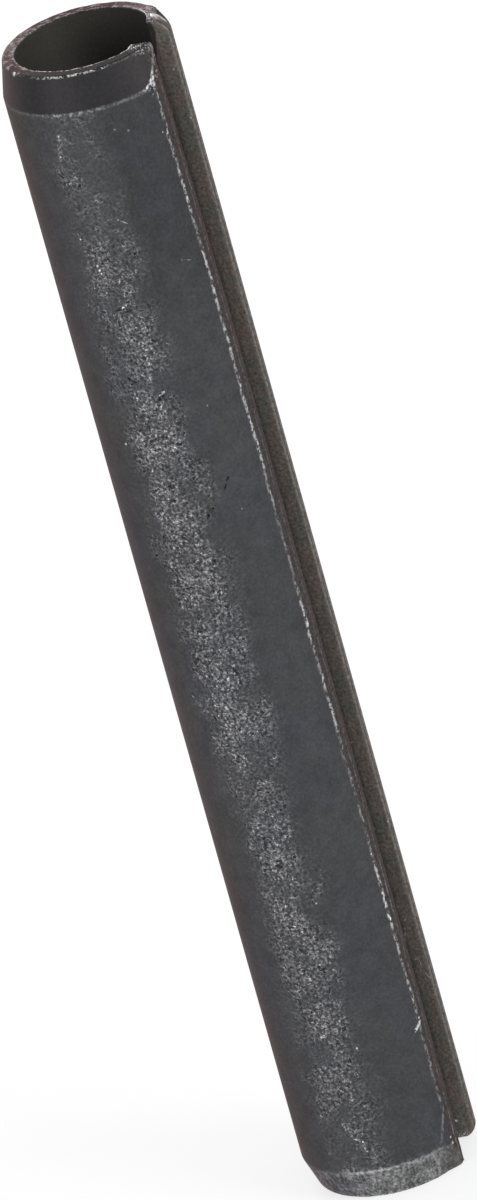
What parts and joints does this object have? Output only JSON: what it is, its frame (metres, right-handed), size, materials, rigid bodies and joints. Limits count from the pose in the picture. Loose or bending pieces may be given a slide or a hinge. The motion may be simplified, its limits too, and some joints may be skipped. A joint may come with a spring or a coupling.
{
  "type": "slotted spring pin",
  "caption": "Slotted spring pin of rolled spring steel strip: an open-slotted tube with tapered ends that closes as it is driven into a reamed hole and grips it.",
  "frame": {"origin": "on the tube's axis, in the plane of the lower end face", "axes": "+Z along the tube's axis towards the upper end; +X through the middle of the slot"},
  "size_m": [0.0061, 0.0064, 0.045],
  "materials": {
    "spring_steel": "blackened spring steel, semi-matt, tumbled to a fine pitted grain, worn bright along the slot edges and the rims"
  },
  "bodies": {
    "root": {"spring_pin": "spring_steel"}
  },
  "joints": []
}
